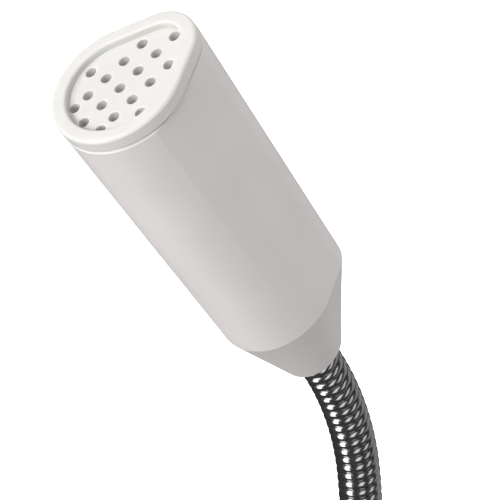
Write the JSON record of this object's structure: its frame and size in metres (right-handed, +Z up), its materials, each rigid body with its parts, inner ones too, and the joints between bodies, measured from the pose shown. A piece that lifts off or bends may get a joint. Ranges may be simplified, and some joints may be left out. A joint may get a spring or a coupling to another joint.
{
  "type": "gooseneck podium microphone",
  "caption": "Podium microphone with a tapered egg-section head and perforated cap, on a flexible metal gooseneck that ends in a round plug base.",
  "frame": {"origin": "on the plug's axis, at the face of the plug housing that stops against a receptacle", "axes": "+Z up the neck, -Z out of the plug barrel; the front of the head, its broad side, faces -Y"},
  "size_m": [0.0244, 0.0714, 0.372],
  "materials": {
    "shell_plastic": "fine satin moulding",
    "cap_plastic": "satin moulding",
    "acoustic_cloth": "open mesh weave",
    "foam": "open cell foam",
    "inner_plastic": "moulded",
    "black_rubber": "matt",
    "capsule_metal": "drawn can",
    "black_felt": "felt",
    "circuit_board": "solder mask",
    "wire_insulation": "extruded",
    "brass": "turned and gold plated",
    "plated_steel": "zinc plated",
    "nickel": "satin nickel plate",
    "housing_plastic": "fine satin moulding",
    "capacitor_sleeve": "shrink sleeve",
    "black_steel": "black oxide",
    "cable_jacket": "soft jacket",
    "chrome_wrap": "bright chrome plate",
    "spring_steel": "dark spring steel"
  },
  "bodies": {
    "base": {"xlr_barrel": "nickel", "xlr_insert": "inner_plastic", "contact_pins": "brass", "contact_wires": "wire_insulation", "ground_tab": "plated_steel", "plug_housing": "housing_plastic", "housing_screws": "plated_steel", "preamp_board": "circuit_board", "preamp_capacitors": "capacitor_sleeve", "preamp_chips": "inner_plastic", "board_leads": "wire_insulation", "cable_clamp": "plated_steel", "neck_collar": "housing_plastic", "collar_o_ring": "black_rubber", "collar_set_screw": "black_steel", "signal_cable": "cable_jacket", "neck_wrap_12": "chrome_wrap", "neck_spring_12": "spring_steel"},
    "neck_11": {"neck_wrap_11": "chrome_wrap", "neck_spring_11": "spring_steel"},
    "neck_10": {"neck_wrap_10": "chrome_wrap", "neck_spring_10": "spring_steel"},
    "neck_09": {"neck_wrap_09": "chrome_wrap", "neck_spring_09": "spring_steel"},
    "neck_08": {"neck_wrap_08": "chrome_wrap", "neck_spring_08": "spring_steel"},
    "neck_07": {"neck_wrap_07": "chrome_wrap", "neck_spring_07": "spring_steel"},
    "neck_06": {"neck_wrap_06": "chrome_wrap", "neck_spring_06": "spring_steel"},
    "neck_05": {"neck_wrap_05": "chrome_wrap", "neck_spring_05": "spring_steel"},
    "neck_04": {"neck_wrap_04": "chrome_wrap", "neck_spring_04": "spring_steel"},
    "neck_03": {"neck_wrap_03": "chrome_wrap", "neck_spring_03": "spring_steel"},
    "neck_02": {"neck_wrap_02": "chrome_wrap", "neck_spring_02": "spring_steel"},
    "neck_01": {"neck_wrap_01": "chrome_wrap", "neck_spring_01": "spring_steel"},
    "head": {"head_shell": "shell_plastic", "grille_cap": "cap_plastic", "grille_cloth": "acoustic_cloth", "foam_pad": "foam", "capsule_carrier": "inner_plastic", "capsule_boot": "black_rubber", "capsule_can": "capsule_metal", "capsule_felt": "black_felt", "capsule_board": "circuit_board", "capsule_leads": "wire_insulation", "neck_ferrule": "brass", "ferrule_washer": "plated_steel", "ferrule_nut": "brass", "neck_wrap_00": "chrome_wrap", "neck_spring_00": "spring_steel"}
  },
  "joints": [
    {"name": "neck_bend_12", "type": "hinge", "parent": "base", "child": "neck_11", "pos_m": [0, 0, 0.1], "axis": [1, 0, 0], "range_deg": [-25, 25], "deforming": ["signal_cable"]},
    {"name": "neck_bend_11", "type": "hinge", "parent": "neck_11", "child": "neck_10", "pos_m": [0, 0, 0.116], "axis": [0, 1, 0], "range_deg": [-25, 25], "deforming": ["signal_cable"]},
    {"name": "neck_bend_10", "type": "hinge", "parent": "neck_10", "child": "neck_09", "pos_m": [0, 0, 0.132], "axis": [1, 0, 0], "range_deg": [-25, 25], "deforming": ["signal_cable"]},
    {"name": "neck_bend_09", "type": "hinge", "parent": "neck_09", "child": "neck_08", "pos_m": [0, 0, 0.148], "axis": [0, 1, 0], "range_deg": [-25, 25], "deforming": ["signal_cable"]},
    {"name": "neck_bend_08", "type": "hinge", "parent": "neck_08", "child": "neck_07", "pos_m": [0, 0, 0.164], "axis": [1, 0, 0], "range_deg": [-25, 25], "deforming": ["signal_cable"]},
    {"name": "neck_bend_07", "type": "hinge", "parent": "neck_07", "child": "neck_06", "pos_m": [0, 0, 0.18], "axis": [0, 1, 0], "range_deg": [-25, 25], "deforming": ["signal_cable"]},
    {"name": "neck_bend_06", "type": "hinge", "parent": "neck_06", "child": "neck_05", "pos_m": [0, 0, 0.196], "axis": [1, 0, 0], "range_deg": [-25, 25], "deforming": ["signal_cable"]},
    {"name": "neck_bend_05", "type": "hinge", "parent": "neck_05", "child": "neck_04", "pos_m": [0, 0, 0.212], "axis": [0, 1, 0], "range_deg": [-25, 25], "deforming": ["signal_cable"]},
    {"name": "neck_bend_04", "type": "hinge", "parent": "neck_04", "child": "neck_03", "pos_m": [0, 0, 0.228], "axis": [1, 0, 0], "range_deg": [-25, 25], "deforming": ["signal_cable"]},
    {"name": "neck_bend_03", "type": "hinge", "parent": "neck_03", "child": "neck_02", "pos_m": [0, 0, 0.244], "axis": [0, 0.9984, 0.0567], "range_deg": [-25, 25], "deforming": ["signal_cable"]},
    {"name": "neck_bend_02", "type": "hinge", "parent": "neck_02", "child": "neck_01", "pos_m": [0, -0.00181, 0.2599], "axis": [1, 0, 0], "range_deg": [-37.7, 12.3], "deforming": ["signal_cable"]},
    {"name": "neck_bend_01", "type": "hinge", "parent": "neck_01", "child": "head", "pos_m": [0, -0.00707, 0.27501], "axis": [1, 0, 0], "range_deg": [-37.7, 12.3], "deforming": ["signal_cable"]}
  ]
}
